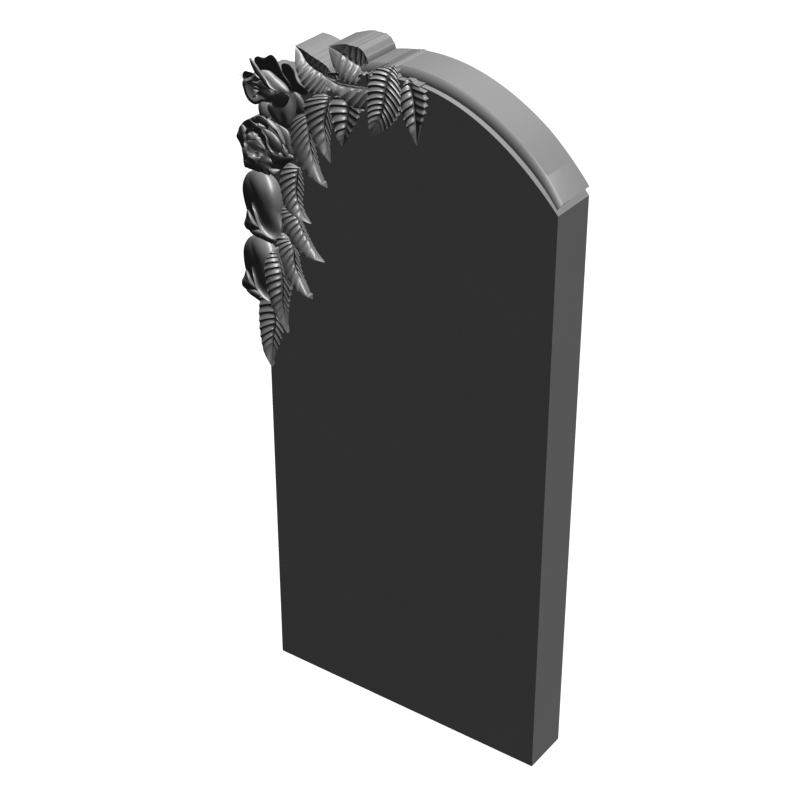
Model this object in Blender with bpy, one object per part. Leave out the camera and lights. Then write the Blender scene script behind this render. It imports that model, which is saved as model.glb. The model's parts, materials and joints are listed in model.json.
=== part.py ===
"""Arched grave slab in one piece of stone, metres, +Z up.

The slab stands on its underside (z = 0) and is centred on x = 0, y = 0; its
carved face looks to -Y. A raised band follows the arch behind the face. Down
the left shoulder hangs a garland: two roses, two drooping buds and fifteen
serrated leaves, which stand over the arch and the left edge as well.

The carving is laid out on the plane of the face, in millimetres from the
slab's centre line (u) and from its underside (v), and each point has its own
height (h) out of that plane. The carving fans out from the face: a point that
stands higher also lies further to the right and higher up, see lift().
"""
import bpy
import bmesh
import numpy as np
from math import atan2, cos, exp, hypot, pi, radians, sin

# ---------------------------------------------------------------- slab (mm)
WIDTH = 500.0
THICKNESS = 80.0
SHOULDER = 959.3        # height where the arch springs from the sides
RISE = 132.04           # rise of the arch over the shoulder
ARCH_P = 2.0134         # arch: z = SHOULDER + RISE * (1 - t**ARCH_P)**ARCH_Q
ARCH_Q = 0.9767
ARCH_STEPS = 18         # facets of half the arch

# ---------------------------------------------------------------- arch band
BAND_HEIGHT = 14.0      # stands this far off the arch
BAND_END = 8.6          # height of the band at its two ends
BAND_SETBACK = 9.4      # the arch's own top shows this far behind the face
BAND_CREST = 3.4        # depth of its rounded front
BAND_STOP = 243.6       # half span of the band

# ---------------------------------------------------------------- carving
BACK = 52.0             # carving and slab are cut off flat at the back
FAN_U, FAN_V, FAN_D = 1389.07, 2059.46, 1966.6   # where the carving fans from
EDGE_ROLL = 0.0
PLEAT_LOW = 0.10                 # where in a rib's length its valley is
RIB_SHARE = 0.7                  # share of a leaf's ribs that is cut
TIP_SLOPE = 0.70                 # how steeply a leaf's edges stand up near its tip
LEAF_ROWS = (0.10, 0.80)         # stations within one rib
LEAF_SIDE = (0.0, 0.45, 1.0)     # stations from midrib to edge
PETAL_RINGS = (0.62, 1.0)        # rings from a petal's middle to its rim
PETAL_POINTS = 13                # about so many points round a petal's rim
BAND_FACETS = 2                  # facets of the band's rounded front

FACE = -THICKNESS / 2


def lift(u, v, h):
    """Point of the carving that is drawn at (u, v) and stands h off the face."""
    k = h / FAN_D
    return (u + (FAN_U - u) * k, FACE - h, v + (FAN_V - v) * k)


def arch(x):
    t = min(1.0, abs(x) / (WIDTH / 2))
    return SHOULDER + RISE * (1.0 - t ** ARCH_P) ** ARCH_Q


def arch_stations(half_span):
    """x of the facets' corners, closer together where the arch falls off."""
    return [half_span * sin(pi / 2 * i / ARCH_STEPS) for i in range(-ARCH_STEPS, ARCH_STEPS + 1)]


def spline(points, t):
    """Uniform Catmull-Rom curve through the points, t from 0 to 1."""
    p = [np.array(q, float) for q in points]
    p = [2 * p[0] - p[1]] + p + [2 * p[-1] - p[-2]]
    n = len(p) - 3
    i = min(int(t * n), n - 1)
    f = t * n - i
    a, b, c, d = p[i:i + 4]
    return 0.5 * (2 * b + (c - a) * f + (2 * a - 5 * b + 4 * c - d) * f * f + (3 * b - a - 3 * c + d) * f ** 3)


def ring(points, steps):
    """Closed Catmull-Rom curve through the points."""
    p = np.array(points, float)
    n = len(p)
    out = []
    for i in range(n):
        a, b, c, d = p[i - 1], p[i], p[(i + 1) % n], p[(i + 2) % n]
        for k in range(steps):
            f = k / steps
            out.append(0.5 * (2 * b + (c - a) * f + (2 * a - 5 * b + 4 * c - d) * f * f
                              + (3 * b - a - 3 * c + d) * f ** 3))
    return np.array(out)


# ---------------------------------------------------------------- scene set-up
for old in list(bpy.data.objects):
    bpy.data.objects.remove(old, do_unlink=True)

slab_collection = bpy.data.collections.new("grave_slab")
bpy.context.scene.collection.children.link(slab_collection)
cutter_collection = bpy.data.collections.new("cutters")
bpy.context.scene.collection.children.link(cutter_collection)


def stone():
    mat = bpy.data.materials.new("honed grey stone")
    mat.use_nodes = True
    shader = mat.node_tree.nodes["Principled BSDF"]
    shader.inputs["Base Color"].default_value = (0.27, 0.27, 0.27, 1.0)
    shader.inputs["Roughness"].default_value = 0.55
    shader.inputs["Metallic"].default_value = 0.0
    return mat


def along(values, s):
    """Value at s of a run of values spaced evenly from 0 to 1, eased between."""
    x = min(max(s, 0.0), 1.0) * (len(values) - 1)
    i = min(int(x), len(values) - 2)
    f = x - i
    return values[i] + (values[i + 1] - values[i]) * f


def pleat_shape(f, fall):
    """One rib's section, f from 0 to 1 towards the tip: rises ever faster, drops."""
    f = (f - PLEAT_LOW) % 1.0
    up = 1.0 - fall
    if f < up:
        return -1.0 + 2.0 * (f / up) ** (2.0 - fall)
    return cos(pi * (f - up) / fall)


def leaf_solid(name, rib, left, right, height, edge, ribs, pleat=2.6, tooth=0.07, crest=(0.0, 0.0),
               groove=0.8, bend=0.1, tip=0.3, fall=0.36, fan=(1.35, 1.0, 1.0), steep=2.0, calm_rim=(0.55, 0.6),
               curl=1.0, back=None):
    """Pleated leaf with a serrated edge.

    rib: points of the midrib from stalk to tip; left, right: its two edges,
    point by point where the ribs meet them; height: of the midrib, from stalk
    to tip; edge: of the left and of the right edge, the same way; crest: how
    high each half stands beside the midrib; bend: how far the ribs curve;
    tip: the pleats die out within this share of the length; fall: part of a rib that falls; fan: how the
    ribs crowd towards the stalk on the midrib and on both edges; steep: how
    fast the halves rise beside the midrib; calm_rim: how far the pleats die
    out at the edge; curl: how far the tip comes forward. back: y where the
    leaf ends.
    """
    ribs = max(3, round(ribs * RIB_SHARE))
    rows = [0.0]
    for k in range(ribs):
        rows += [(k + f) / ribs for f in LEAF_ROWS]
    rows = [s for s in rows if s < 0.993]
    grid = np.linspace(0.0, 0.98, 50)
    widest = [max(np.hypot(*(spline(line, s) - spline(rib, s))) for s in grid) for line in (left, right)]
    side = [-t for t in reversed(LEAF_SIDE[1:])] + list(LEAF_SIDE)
    verts, faces = [], []
    for s in rows:
        s_mid, s_ends = s ** fan[0], (s ** fan[1], s ** fan[2])
        p = spline(rib, s_mid)
        q = spline(rib, min(1.0, s_mid + 0.01)) - spline(rib, max(0.0, s_mid - 0.01))
        q /= np.hypot(*q)
        ends = [spline(line, along_edge) for line, along_edge in zip((left, right), s_ends)]
        wave = pleat_shape(s * ribs, fall)
        calm = min(1.0, max(0.0, 2.0 * (1.0 - s) / tip - 1.0))
        mid = along(height, s_mid)
        forward = curl * max(0.0, (s - 0.72) / 0.28) ** 1.6
        for t in side:
            a, half = abs(t), 0 if t < 0 else 1
            reach = ends[half] - p
            fade = min(1.0, np.hypot(*reach) / widest[half] * 2.2)
            a_out = a * (1 - tooth * calm * (1 - 0.5 * calm_rim[half]) * (0.5 - 0.5 * wave) * a ** 3)
            out = along(edge[half], s_ends[half])
            rise = min(out - mid, TIP_SLOPE * np.hypot(*reach))
            h = mid + rise * (1 - (1 - a) ** (1 + (steep - 1) * min(1.0, (1 - s) / 0.4)))
            h += crest[half] * min(1.0, a / 0.2) * (1 - a) ** 0.7 * fade
            h -= groove * exp(-(a / 0.09) ** 2) * fade
            lift_up = min(1.0, a * 5.0) * (1 - calm_rim[half] * a ** 1.3)
            lift_up += (1 - calm_rim[half]) ** 0.5 * max(0.0, (a - 0.84) / 0.16) ** 2
            h += pleat * min(1.0, widest[half] / 26) * wave * lift_up * fade * calm * 0.5
            at = p + reach * a_out + q * (bend * np.hypot(*reach) * (a * a - a))
            verts.append(lift(at[0], at[1], h + forward))
    m = len(side)
    end = spline(rib, 1.0)
    verts.append(lift(end[0], end[1], height[-1] + curl))
    last = len(verts) - 1
    for j in range(len(rows) - 1):
        for k in range(m - 1):
            a = j * m + k
            faces.append((a, a + 1, a + m + 1, a + m))
    for k in range(m - 1):
        a = (len(rows) - 1) * m + k
        faces.append((a, a + 1, last))
    rim = list(range(m)) + [j * m + m - 1 for j in range(1, len(rows))] + [last]
    rim += [j * m for j in reversed(range(1, len(rows)))]
    return close_back(name, verts, faces, rim, FACE + 14.0 if back is None else back)


def petal_solid(name, rim, middle, h, tilt=(0.0, 0.0), dome=6.0, lip=0.0, lip_to=None, lip_width=0.7,
                ruffle=(0, 0.0), swell=(), roll=(0.8, 0.0), back=None, root=None):
    """Petal: a rounded plate inside a smooth rim.

    h: height at its middle; tilt: rise to the right and upwards; dome: fall
    from the middle to the rim; lip: how far the rim turns up, lip_to: the
    direction where it does, in degrees, and lip_width: the less, the wider; ruffle: waves around the rim and
    their height; swell: rounded swellings or hollows (u, v, wide, high, turn
    in degrees, height); roll: from where, and how far, the outer part rolls
    back. back: y where its straight sides end; root: height down to which the
    sides lean back instead.
    """
    edge = ring(rim, max(1, round(PETAL_POINTS / len(rim))))
    mid = np.array(middle, float)

    def height(q, r, turn):
        out = h + tilt[0] * (q[0] - mid[0]) + tilt[1] * (q[1] - mid[1]) - dome * r ** 2.4
        facing = 1.0 if lip_to is None else max(0.0, cos(turn - radians(lip_to))) ** lip_width
        out += lip * facing * r ** 6
        out += ruffle[1] * sin(ruffle[0] * turn) * r ** 4
        for su, sv, wide, high, angle, amount in swell:
            ct, st = cos(radians(angle)), sin(radians(angle))
            du, dv = q[0] - su, q[1] - sv
            x, z = (du * ct + dv * st) / wide, (dv * ct - du * st) / high
            out += amount * exp(-x * x - z * z)
        out -= roll[1] * max(0.0, (r - roll[0]) / (1 - roll[0])) ** 1.6
        return out - EDGE_ROLL * max(0.0, (r - 0.9) / 0.1) ** 2

    verts, faces = [lift(mid[0], mid[1], height(mid, 0.0, 0.0))], []
    n = len(edge)
    for r in PETAL_RINGS:
        for p in edge:
            turn = atan2(p[1] - mid[1], p[0] - mid[0])
            q = mid + (p - mid) * r * (1 + 0.012 * ruffle[1] * cos(ruffle[0] * turn) * r ** 4)
            verts.append(lift(q[0], q[1], height(q, r, turn)))
    for k in range(n):
        faces.append((0, 1 + k, 1 + (k + 1) % n))
    for j in range(len(PETAL_RINGS) - 1):
        for k in range(n):
            a, b = 1 + j * n + k, 1 + j * n + (k + 1) % n
            faces.append((a, a + n, b + n, b))
    first = 1 + (len(PETAL_RINGS) - 1) * n
    outer = list(range(first, first + n))
    if root is None:
        return close_back(name, verts, faces, outer, FACE + 14.0 if back is None else back)
    base = len(verts)
    for k in range(n):
        verts.append(lift(edge[k][0], edge[k][1], root - stagger() / 4))
    for k in range(n):
        faces.append((first + k, base + k, base + (k + 1) % n, first + (k + 1) % n))
    faces.append(tuple(range(base, base + n)))
    return make(name, verts, faces, cutter_collection)


def stagger():
    """Small extra depth, so that no two pieces end in the same plane."""
    return 0.31 * len(cutter_collection.objects)


def close_back(name, verts, faces, rim, back):
    """Straight sides from the rim to the plane y = back, and a flat back."""
    base = len(verts)
    back += stagger()
    for i in rim:
        verts.append((verts[i][0], back, verts[i][2]))
    n = len(rim)
    for k in range(n):
        faces.append((rim[k], rim[(k + 1) % n], base + (k + 1) % n, base + k))
    faces.append(tuple(range(base, base + n)))
    return make(name, verts, faces, cutter_collection)


def make(name, verts, faces, collection):
    """Mesh object in metres from millimetre points, its faces turned outwards."""
    mesh = bpy.data.meshes.new(name)
    mesh.from_pydata([(x / 1000, y / 1000, z / 1000) for x, y, z in verts], [], faces)
    bm = bmesh.new()
    bm.from_mesh(mesh)
    bmesh.ops.triangulate(bm, faces=bm.faces)
    bmesh.ops.recalc_face_normals(bm, faces=bm.faces)
    bm.to_mesh(mesh)
    bm.free()
    ob = bpy.data.objects.new(name, mesh)
    collection.objects.link(ob)
    return ob


def slab_solid():
    """Flat outline of the slab, drawn out to its thickness."""
    half = WIDTH / 2
    outline = [(-half, 0.0), (half, 0.0)] + [(x, arch(x)) for x in reversed(arch_stations(half))]
    bm = bmesh.new()
    ring_verts = [bm.verts.new((x / 1000, FACE / 1000, z / 1000)) for x, z in outline]
    face = bm.faces.new(ring_verts)
    drawn = bmesh.ops.extrude_face_region(bm, geom=[face])
    moved = [g for g in drawn["geom"] if isinstance(g, bmesh.types.BMVert)]
    bmesh.ops.translate(bm, verts=moved, vec=(0, (BACK - 4 - FACE) / 1000, 0))
    bmesh.ops.recalc_face_normals(bm, faces=bm.faces)
    mesh = bpy.data.meshes.new("grave_slab")
    bm.to_mesh(mesh)
    bm.free()
    ob = bpy.data.objects.new("grave_slab", mesh)
    slab_collection.objects.link(ob)
    return ob


def band_height(x):
    """Full over the arch, falling towards the ends."""
    t = max(0.0, (abs(x) - 172.0) / (BAND_STOP - 172.0))
    return BAND_HEIGHT + (BAND_END - BAND_HEIGHT) * t ** 1.25


def band_solid():
    """The band's section swept along the arch, square to it."""
    verts, faces = [], []
    stations = arch_stations(BAND_STOP)
    crest = [(BAND_CREST * (1 - cos(a)), sin(a)) for a in np.linspace(0, pi / 2, BAND_FACETS + 1)[1:]]
    for x in stations:
        x0, x1 = max(-WIDTH / 2, x - 0.01), min(WIDTH / 2, x + 0.01)
        dx, dz = x1 - x0, arch(x1) - arch(x0)
        n = hypot(dx, dz)
        nx, nz = -dz / n, dx / n
        top = band_height(x)
        section = [(FACE + BAND_SETBACK, -9.0)]
        section += [(FACE + BAND_SETBACK + d, k * top) for d, k in crest]
        section += [(BACK - 2, top), (BACK - 2, -9.0)]
        for y, off in section:
            verts.append((x + nx * off, y, arch(x) + nz * off))
    m = BAND_FACETS + 3
    for i in range(len(stations) - 1):
        for k in range(m):
            a, b = i * m + k, i * m + (k + 1) % m
            faces.append((a, b, b + m, a + m))
    faces.append(tuple(range(m)))
    faces.append(tuple(reversed(range(len(verts) - m, len(verts)))))
    return make("band", verts, faces, cutter_collection)


# ---------------------------------------------------------------- leaves
# midrib from stalk to tip, its two edges, heights of the midrib and of both edges
LEAVES = [
    dict(name="leaf_top_right",
         rib=[(10, 1096), (14, 1080), (18, 1063), (20, 1045), (22, 1025), (23, 1002)],
         left=[(4, 1093), (-4, 1073), (-4, 1052), (2, 1034), (10, 1021), (23, 1002)],
         right=[(17, 1093), (34, 1083), (36, 1066), (33, 1049), (28, 1029), (23, 1002)],
         height=(-4, 0, 1, 1, 1, 0), edge=((2, 9, 10, 9, 9, 9), (2, 6, 7, 6, 4, 1)), ribs=8, pleat=4.6,
         fan=(1.2, 1, 1), tip=0.34, calm_rim=(0.2, 0.4)),
    dict(name="leaf_top_middle",
         rib=[(-14, 1109), (-23, 1094), (-29, 1072), (-33, 1049), (-39, 1028), (-56, 995)],
         left=[(-21, 1108), (-45, 1097), (-59, 1071), (-60, 1042), (-59, 1019), (-56, 995)],
         right=[(-11, 1107), (-6, 1083), (-4, 1056), (-14, 1030), (-31, 1011), (-56, 995)],
         height=(-6, -1, 1, 2, 3, 4), edge=((-5, 3, 9, 9, 10, 9), (-5, 1, 7, 8, 5, 4)), ribs=14, pleat=3.0,
         fan=(1.1, 1, 1), steep=1.3, fall=0.42, bend=0.3, tip=0.24, back=BACK, calm_rim=(0.0, 0.7)),
    dict(name="leaf_top_upper",
         rib=[(-60, 1088), (-70, 1094), (-84, 1098), (-99, 1104), (-111, 1109), (-126, 1112)],
         left=[(-63, 1082), (-78, 1068), (-94, 1065), (-107, 1071), (-118, 1085), (-126, 1112)],
         right=[(-57, 1094), (-59, 1109), (-70, 1121), (-84, 1122), (-99, 1121), (-126, 1112)],
         height=(-13, -12.5, -12, -12, -13, -14), edge=((1, 5, 6, 3, -4, -13), (-14, -14, -14, -14, -14, -15)),
         ribs=8, pleat=4.4, fan=(1.5, 1, 1), calm_rim=(0.75, 1), back=BACK, curl=0),
    dict(name="leaf_top_lower",
         rib=[(-39, 1066), (-60, 1064), (-82, 1061), (-106, 1059), (-121, 1062), (-134, 1066)],
         left=[(-39, 1041), (-62, 1034), (-84, 1031), (-103, 1039), (-122, 1049), (-134, 1066)],
         right=[(-39, 1069), (-60, 1067), (-84, 1064), (-106, 1062), (-120, 1064), (-134, 1066)],
         height=(1, 1, 1, 1, 0, -3), edge=((3, 5, 9, 10, 8, -2), (1, 1, 1, 1, 0, -3)), ribs=9, pleat=4.4,
         fan=(1.9, 1, 1), calm_rim=(0.85, 0.6), curl=1),
    dict(name="leaf_shoulder",
         rib=[(-125, 1055), (-135, 1068), (-151, 1073), (-163, 1080), (-172, 1091), (-183, 1100)],
         left=[(-124, 1046), (-144, 1037), (-164, 1037), (-177, 1049), (-184, 1070), (-183, 1100)],
         right=[(-120, 1074), (-128, 1082), (-139, 1087), (-155, 1092), (-169, 1097), (-183, 1100)],
         height=(0, -4, -7, -10, -13, -16), edge=((9, 11, 11, 8, 1, -15), (-3, -4, -6, -9, -12, -15)),
         ribs=10, pleat=3.8, fan=(1.7, 1, 1.5), calm_rim=(0.6, 1), back=BACK, curl=0),
    dict(name="leaf_inner_1",
         rib=[(-125, 1039), (-131, 1018), (-135, 997), (-133, 978), (-130, 959), (-126, 938)],
         left=[(-147, 1037), (-171, 1018), (-169, 996), (-163, 974), (-147, 954), (-126, 938)],
         right=[(-124, 1036), (-122, 1014), (-122, 996), (-125, 978), (-126, 962), (-126, 938)],
         height=(0, 2, 2, 2, 2, 1), edge=((7, 12, 13, 13, 12, 12), (1, 1, 1, 1, 1, 1)), ribs=10, pleat=3.0, crest=(0, 4), fall=0.45, fan=(1.9, 1, 1)),
    dict(name="leaf_inner_2",
         rib=[(-92, 1052), (-93, 1032), (-94, 1017), (-96, 1002), (-100, 987), (-104, 968)],
         left=[(-106, 1049), (-124, 1031), (-124, 1014), (-118, 995), (-114, 980), (-104, 968)],
         right=[(-85, 1054), (-75, 1030), (-78, 1016), (-87, 999), (-95, 984), (-104, 968)],
         height=(0, 0, 0, 0, 0, 0), edge=((4, 8, 9, 9, 9, 9), (4, 5, 5, 4, 3, 1)), ribs=7, pleat=4.2, tip=0.3,
         fan=(1.2, 1, 1), calm_rim=(0.2, 0.5)),
    dict(name="leaf_side_1",
         rib=[(-167, 1002), (-164, 980), (-162, 961), (-157, 940), (-148, 922), (-133, 897)],
         left=[(-190, 991), (-196, 969), (-196, 944), (-184, 921), (-161, 904), (-133, 897)],
         right=[(-164, 998), (-157, 972), (-152, 953), (-148, 937), (-144, 921), (-133, 897)],
         height=(2, 2, 2, 2, 2, 1), edge=((7, 12, 14, 14, 13, 12), (1, 1, 1, 1, 1, 1)), ribs=10, pleat=2.8, crest=(0, 4),
         fan=(1.9, 1, 1), fall=0.45),
    dict(name="leaf_side_2",
         rib=[(-184, 915), (-188, 891), (-189, 872), (-184, 855), (-177, 842), (-164, 831)],
         left=[(-207, 915), (-219, 891), (-218, 864), (-210, 842), (-192, 834), (-164, 831)],
         right=[(-180, 914), (-176, 896), (-176, 878), (-178, 862), (-174, 846), (-164, 831)],
         height=(2, 2, 2, 2, 2, 1), edge=((7, 12, 14, 14, 13, 12), (1, 1, 1, 1, 1, 1)), ribs=10, pleat=3.0, crest=(0, 4),
         fan=(1.8, 1, 1), fall=0.42),
    dict(name="leaf_side_3",
         rib=[(-194, 845), (-185, 827), (-177, 811), (-167, 799), (-156, 787), (-141, 775)],
         left=[(-216, 845), (-221, 827), (-212, 805), (-197, 784), (-172, 774), (-141, 775)],
         right=[(-187, 843), (-178, 827), (-170, 812), (-162, 799), (-153, 787), (-141, 775)],
         height=(2, 2, 2, 2, 2, 1), edge=((6, 11, 13, 13, 12, 12), (1, 1, 1, 1, 1, 1)), ribs=11, pleat=2.6, crest=(0, 3),
         fan=(2.0, 1, 1), fall=0.45),
    dict(name="leaf_side_4",
         rib=[(-205, 795), (-198, 781), (-197, 760), (-192, 745), (-181, 730), (-165, 706)],
         left=[(-224, 798), (-231, 774), (-228, 748), (-211, 723), (-190, 710), (-165, 706)],
         right=[(-200, 794), (-189, 778), (-186, 760), (-182, 744), (-175, 729), (-165, 706)],
         height=(2, 2, 2, 2, 2, 1), edge=((7, 12, 14, 14, 13, 12), (1, 1, 1, 1, 1, 1)), ribs=10, pleat=2.8, crest=(0, 4),
         fan=(1.9, 1, 1), fall=0.45),
    dict(name="leaf_low_1",
         rib=[(-230, 766), (-222, 738), (-221, 711), (-222, 685), (-219, 662), (-215, 632)],
         left=[(-238, 768), (-254, 742), (-254, 712), (-248, 680), (-234, 654), (-215, 632)],
         right=[(-222, 766), (-210, 738), (-206, 714), (-211, 686), (-213, 662), (-215, 632)],
         height=(18, 18, 15, 11, 6, 1), edge=((26, 31, 31, 28, 20, 12), (8, 8, 6, 4, 2, 1)), ribs=13, pleat=3.6, crest=(0, 4),
         fan=(1.5, 1, 1), tip=0.4, calm_rim=(0.5, 0.6)),
    dict(name="leaf_low_2",
         rib=[(-247, 692), (-239, 661), (-239, 641), (-243, 620), (-245, 598), (-249, 561)],
         left=[(-263, 688), (-270, 660), (-271, 633), (-269, 606), (-263, 582), (-249, 561)],
         right=[(-238, 690), (-223, 660), (-222, 638), (-229, 614), (-238, 590), (-249, 561)],
         height=(5, 4, 4, 3, 2, 1), edge=((4, 6, 8, 8, 8, 8), (0.5, 0.5, 0.5, 0.5, 0.5, 0.5)), ribs=10,
         pleat=4.4, crest=(0, 3), fan=(1.3, 1, 1), tip=0.34, back=BACK, calm_rim=(0.3, 0.5), curl=2.5),
    dict(name="leaf_behind",
         rib=[(-50, 1070), (-68, 1072), (-88, 1070), (-108, 1073), (-120, 1071), (-134, 1068)],
         left=[(-50, 1060), (-70, 1060), (-88, 1059), (-104, 1059), (-118, 1061), (-134, 1068)],
         right=[(-50, 1088), (-66, 1086), (-84, 1078), (-104, 1078), (-120, 1075), (-134, 1068)],
         height=(-3, -3, -2, -2, -2, -3), edge=((-3, -3, -3, -3, -3, -4), (1, 1, 0, 0, -1, -4)), ribs=7, pleat=5.0,
         calm_rim=(0.0, 0.0), fan=(1, 1, 1), curl=0),
    dict(name="leaf_small",
         rib=[(-92, 1040), (-80, 1036), (-65, 1032)], left=[(-92, 1036), (-78, 1027), (-65, 1032)],
         right=[(-90, 1044), (-76, 1037), (-65, 1032)],
         height=(2, 2, 1), edge=((4, 5, 2), (1, 1, 1)), ribs=3, curl=0),
]

# ---------------------------------------------------------------- roses
ROSE_UPPER = [
    dict(name="upper_block", rim=[(-277, 1026), (-272, 1034), (-262, 1038), (-250, 1038), (-225, 1042), (-196, 1046),
                                  (-170, 1030), (-175, 1000), (-200, 985), (-240, 990), (-256, 1000), (-270, 1012)],
         middle=(-225, 1015), h=-2, dome=2, back=BACK - 1),
    dict(name="upper_inner_side", rim=[(-190, 1028), (-176, 1025), (-170, 1014), (-173, 1003), (-190, 1000)],
         middle=(-182, 1014), h=5, dome=3),
    dict(name="upper_behind", rim=[(-209, 1065), (-197, 1070), (-187, 1064), (-181, 1050), (-163, 1038), (-170, 1029),
                                   (-188, 1027), (-202, 1040)],
         middle=(-190, 1047), h=10, tilt=(0.3, 0.7), dome=4, root=-14),
    dict(name="upper_top", rim=[(-258, 1062), (-252, 1069), (-239, 1070), (-227, 1077), (-217, 1072), (-208, 1056),
                                (-195, 1042), (-190, 1031), (-206, 1034), (-228, 1042), (-250, 1048)],
         middle=(-226, 1055), h=16, tilt=(0.35, 0.85), dome=6,
         swell=[(-243, 1064, 8, 9, 0, 2), (-234, 1060, 4, 12, -15, -4), (-216, 1064, 8, 10, 30, 2)], root=-14),
    dict(name="upper_low", rim=[(-198, 1025), (-189, 1026), (-184, 1014), (-187, 996), (-199, 973), (-213, 974),
                                (-232, 985), (-236, 1000), (-215, 1010)],
         middle=(-208, 998), h=17, tilt=(-0.12, -0.15), dome=7, lip=5, lip_to=20, swell=[(-212, 985, 8, 14, 20, -3)], root=-8),
    dict(name="upper_low_left", rim=[(-251, 1001), (-236, 1004), (-228, 996), (-236, 979), (-249, 977), (-254, 988)],
         middle=(-243, 990), h=13, tilt=(0.0, -0.3), dome=4, root=-8),
    dict(name="upper_low_dark", rim=[(-229, 1009), (-222, 1020), (-208, 1025), (-196, 1022), (-203, 1006), (-218, 997),
                                     (-227, 999)],
         middle=(-214, 1010), h=21, tilt=(0.08, 0.25), dome=2, lip=3, lip_to=-120, root=0),
    dict(name="upper_cup", rim=[(-281, 1033), (-279, 1039), (-275, 1042), (-269, 1042), (-262, 1042), (-257, 1038),
                                (-262, 1033), (-270, 1030), (-279, 1028)],
         middle=(-270, 1036), h=16, tilt=(0.5, 1.0), dome=1, root=-6),
    dict(name="upper_core", rim=[(-279, 1028), (-282, 1021), (-280, 1012), (-277, 1004), (-271, 997), (-261, 994),
                                 (-253, 997), (-245, 1002), (-233, 1004), (-226, 1013), (-223, 1022), (-232, 1032),
                                 (-246, 1040), (-258, 1044), (-265, 1036), (-273, 1031)],
         middle=(-258, 1018), h=22, dome=-6, roll=(0.78, 10),
         swell=[(-254, 1011, 5, 4, 30, -4), (-236, 1016, 12, 9, 0, 3)], root=-4),
    dict(name="upper_fold", rim=[(-265, 1028), (-255, 1030), (-246, 1036), (-240, 1035), (-236, 1025), (-244, 1021),
                                 (-252, 1021), (-258, 1024)],
         middle=(-250, 1027), h=28, tilt=(0.02, 0.02), dome=1.5, roll=(0.75, 3), root=5),
    dict(name="upper_curl", rim=[(-261, 1021), (-256, 1023), (-251, 1022), (-253, 1018), (-258, 1018)],
         middle=(-256, 1020), h=25, tilt=(0.05, 0.0), dome=1.5, root=8),
    dict(name="upper_heart", rim=[(-262, 1016), (-255, 1018), (-251, 1017), (-255, 1013), (-257, 1009), (-258, 1006),
                                  (-264, 1004), (-263, 1009), (-261, 1013)],
         middle=(-258, 1012), h=25, tilt=(-0.25, -0.2), dome=1.5, root=8),
    dict(name="upper_front", rim=[(-247, 1048), (-231, 1052), (-217, 1046), (-201, 1037), (-196, 1027), (-210, 1023),
                                  (-229, 1026), (-239, 1036)],
         middle=(-221, 1037), h=26, tilt=(-0.25, -0.45), dome=4, lip=4, lip_to=-150, root=0),
    dict(name="upper_point", rim=[(-267, 1061), (-262, 1063), (-250, 1052), (-238, 1038), (-226, 1025), (-238, 1026),
                                  (-251, 1038), (-260, 1046)],
         middle=(-247, 1044), h=31, tilt=(-0.2, -0.2), dome=5, root=0),
]

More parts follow.
